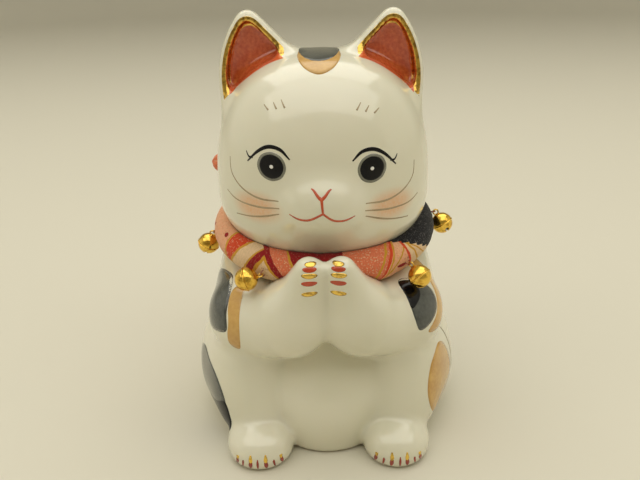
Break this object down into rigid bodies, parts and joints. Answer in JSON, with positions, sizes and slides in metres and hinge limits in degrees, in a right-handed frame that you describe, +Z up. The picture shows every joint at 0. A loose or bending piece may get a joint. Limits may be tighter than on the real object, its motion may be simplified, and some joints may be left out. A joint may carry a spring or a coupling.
{
  "type": "ceramic cat figurine",
  "caption": "Seated glazed porcelain cat with raised paws held together, wearing a stuffed cloth collar tied at the nape with small gilt bells sewn on.",
  "frame": {"origin": "middle of the bounding box at the level of the flat base", "axes": "+Z up through the head, -Y the way the face looks, +X to the right of someone facing the cat"},
  "size_m": [0.099, 0.108, 0.1495],
  "materials": {
    "glazed_porcelain": "clear glaze over white porcelain, hand painted",
    "crepe_cloth": "crinkled crepe, printed",
    "cotton_stuffing": "loose cotton wadding",
    "sewing_thread": "twisted sewing thread",
    "gilt_brass": "bright gilt",
    "steel_pellet": "plain steel"
  },
  "bodies": {
    "root": {"porcelain_body": "glazed_porcelain", "collar_cover": "crepe_cloth", "collar_stuffing": "cotton_stuffing", "collar_knot": "crepe_cloth", "collar_tail_left": "crepe_cloth", "collar_tail_right": "crepe_cloth"},
    "side_left_loop": {"side_left_thread_loop": "sewing_thread"},
    "side_left_bell": {"side_left_bell_shank": "gilt_brass", "side_left_bell_top_shell": "gilt_brass", "side_left_bell_bottom_shell": "gilt_brass"},
    "side_left_pellet": {"side_left_bell_pellet": "steel_pellet"},
    "front_left_loop": {"front_left_thread_loop": "sewing_thread"},
    "front_left_bell": {"front_left_bell_shank": "gilt_brass", "front_left_bell_top_shell": "gilt_brass", "front_left_bell_bottom_shell": "gilt_brass"},
    "front_left_pellet": {"front_left_bell_pellet": "steel_pellet"},
    "front_right_loop": {"front_right_thread_loop": "sewing_thread"},
    "front_right_bell": {"front_right_bell_shank": "gilt_brass", "front_right_bell_top_shell": "gilt_brass", "front_right_bell_bottom_shell": "gilt_brass"},
    "front_right_pellet": {"front_right_bell_pellet": "steel_pellet"},
    "side_right_loop": {"side_right_thread_loop": "sewing_thread"},
    "side_right_bell": {"side_right_bell_shank": "gilt_brass", "side_right_bell_top_shell": "gilt_brass", "side_right_bell_bottom_shell": "gilt_brass"},
    "side_right_pellet": {"side_right_bell_pellet": "steel_pellet"}
  },
  "joints": [
    {"name": "side_left_sway", "type": "hinge", "parent": "root", "child": "side_left_loop", "pos_m": [-0.0407, 0.00157, 0.06928], "axis": [-0.9062, 0.0284, -0.422], "range_deg": [-25, 25]},
    {"name": "side_left_swing", "type": "hinge", "parent": "side_left_loop", "child": "side_left_bell", "pos_m": [-0.04243, 0.00163, 0.06848], "axis": [-0.0542, 0.9817, 0.1826], "range_deg": [-20, 45]},
    {"name": "side_left_rattle", "type": "hinge", "parent": "side_left_bell", "child": "side_left_pellet", "pos_m": [-0.04448, 0.0024, 0.06373], "axis": [0.0542, -0.9817, -0.1826], "range_deg": [-50, 50]},
    {"name": "front_left_sway", "type": "hinge", "parent": "root", "child": "front_left_loop", "pos_m": [-0.02064, -0.03349, 0.06772], "axis": [-0.4981, -0.8489, -0.1769], "range_deg": [-30, 0]},
    {"name": "front_left_swing", "type": "hinge", "parent": "front_left_loop", "child": "front_left_bell", "pos_m": [-0.02158, -0.03511, 0.06738], "axis": [-0.2518, -0.0536, 0.9663], "range_deg": [0, 35]},
    {"name": "front_left_rattle", "type": "hinge", "parent": "front_left_bell", "child": "front_left_pellet", "pos_m": [-0.02664, -0.03522, 0.06606], "axis": [0.2518, 0.0536, -0.9663], "range_deg": [-50, 50]},
    {"name": "front_right_sway", "type": "hinge", "parent": "root", "child": "front_right_loop", "pos_m": [0.02814, -0.02795, 0.06819], "axis": [0.6783, -0.7124, -0.18], "range_deg": [-15, 25]},
    {"name": "front_right_swing", "type": "hinge", "parent": "front_right_loop", "child": "front_right_bell", "pos_m": [0.02943, -0.0293, 0.06785], "axis": [-0.7348, -0.6557, -0.1735], "range_deg": [0, 40]},
    {"name": "front_right_rattle", "type": "hinge", "parent": "front_right_bell", "child": "front_right_pellet", "pos_m": [0.03235, -0.0316, 0.06417], "axis": [0.7348, 0.6557, 0.1735], "range_deg": [-50, 50]},
    {"name": "side_right_sway", "type": "hinge", "parent": "root", "child": "side_right_loop", "pos_m": [0.04098, 0.00696, 0.07296], "axis": [0.9901, 0.1136, 0.0821], "range_deg": [-20, 25]},
    {"name": "side_right_swing", "type": "hinge", "parent": "side_right_loop", "child": "side_right_bell", "pos_m": [0.04286, 0.00717, 0.07312], "axis": [0.0871, -0.9575, 0.2751], "range_deg": [0, 45]},
    {"name": "side_right_rattle", "type": "hinge", "parent": "side_right_bell", "child": "side_right_pellet", "pos_m": [0.04549, 0.00615, 0.06872], "axis": [-0.0871, 0.9575, -0.2751], "range_deg": [-50, 50]}
  ]
}
